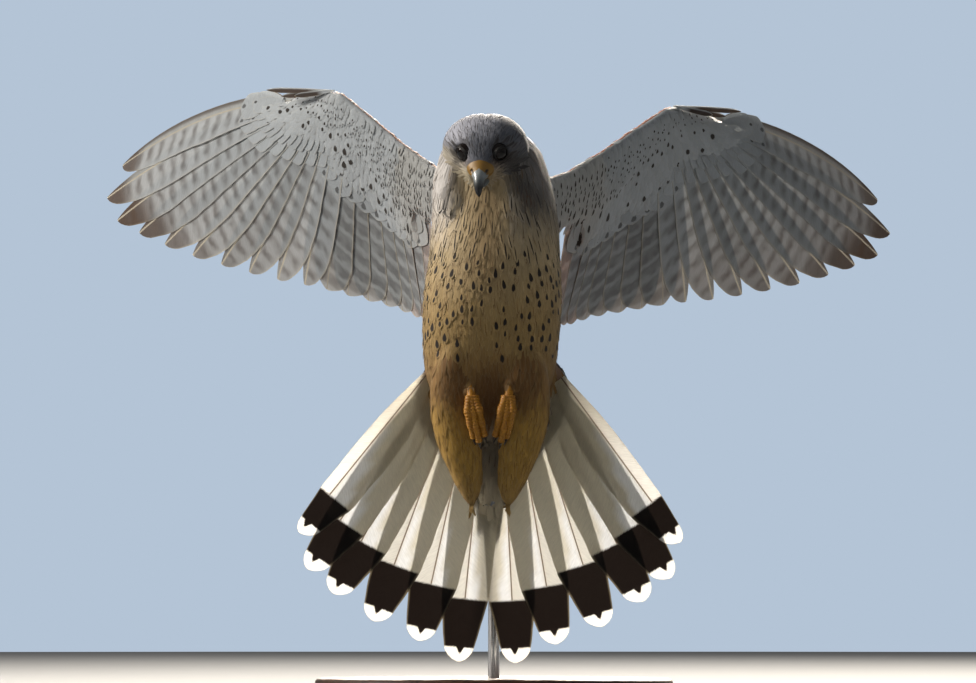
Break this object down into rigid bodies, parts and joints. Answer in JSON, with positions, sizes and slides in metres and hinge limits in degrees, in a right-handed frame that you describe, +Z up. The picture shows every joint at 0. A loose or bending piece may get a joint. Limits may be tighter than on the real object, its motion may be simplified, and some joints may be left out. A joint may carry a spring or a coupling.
{
  "type": "common kestrel display model",
  "caption": "Life-size still model of a male common kestrel hovering with raised wings and fanned tail, held on a round base by a short rod.",
  "frame": {"origin": "middle of the underside of the stand's round base, which stands on the floor", "axes": "+Z up along the body towards the head, -Y the side of the breast and belly, +X the bird's own left"},
  "size_m": [0.4164, 0.3329, 0.3211],
  "materials": {
    "body_feathers": "soft overlapping feathers",
    "neck_feathers": "soft overlapping feathers",
    "head_feathers": "soft overlapping feathers",
    "thigh_feathers": "soft overlapping feathers",
    "wing_arm_feathers": "soft overlapping feathers",
    "wing_hand_feathers": "soft overlapping feathers",
    "tail_feathers": "soft overlapping feathers",
    "bill_horn": "smooth blue-grey horn, yellow at the cere",
    "eye": "wet and glossy, nearly black",
    "foot_skin": "scaly yellow skin",
    "claw_horn": "smooth black horn",
    "stand_wood": "dark satin stain on a turned hardwood disc",
    "stand_steel": "plain round steel rod"
  },
  "bodies": {
    "root": {"torso": "body_feathers", "neck": "neck_feathers", "head": "head_feathers", "thigh_left": "thigh_feathers", "thigh_right": "thigh_feathers", "wing_arm_left": "wing_arm_feathers", "wing_arm_right": "wing_arm_feathers", "wing_hand_left": "wing_hand_feathers", "wing_hand_right": "wing_hand_feathers", "tail": "tail_feathers", "bill_upper": "bill_horn", "bill_lower": "bill_horn", "eye_left": "eye", "foot_left": "foot_skin", "claw_left_1": "claw_horn", "claw_left_2": "claw_horn", "claw_left_3": "claw_horn", "claw_left_4": "claw_horn", "eye_right": "eye", "foot_right": "foot_skin", "claw_right_1": "claw_horn", "claw_right_2": "claw_horn", "claw_right_3": "claw_horn", "claw_right_4": "claw_horn", "stand_base": "stand_wood", "stand_rod": "stand_steel"}
  },
  "joints": []
}
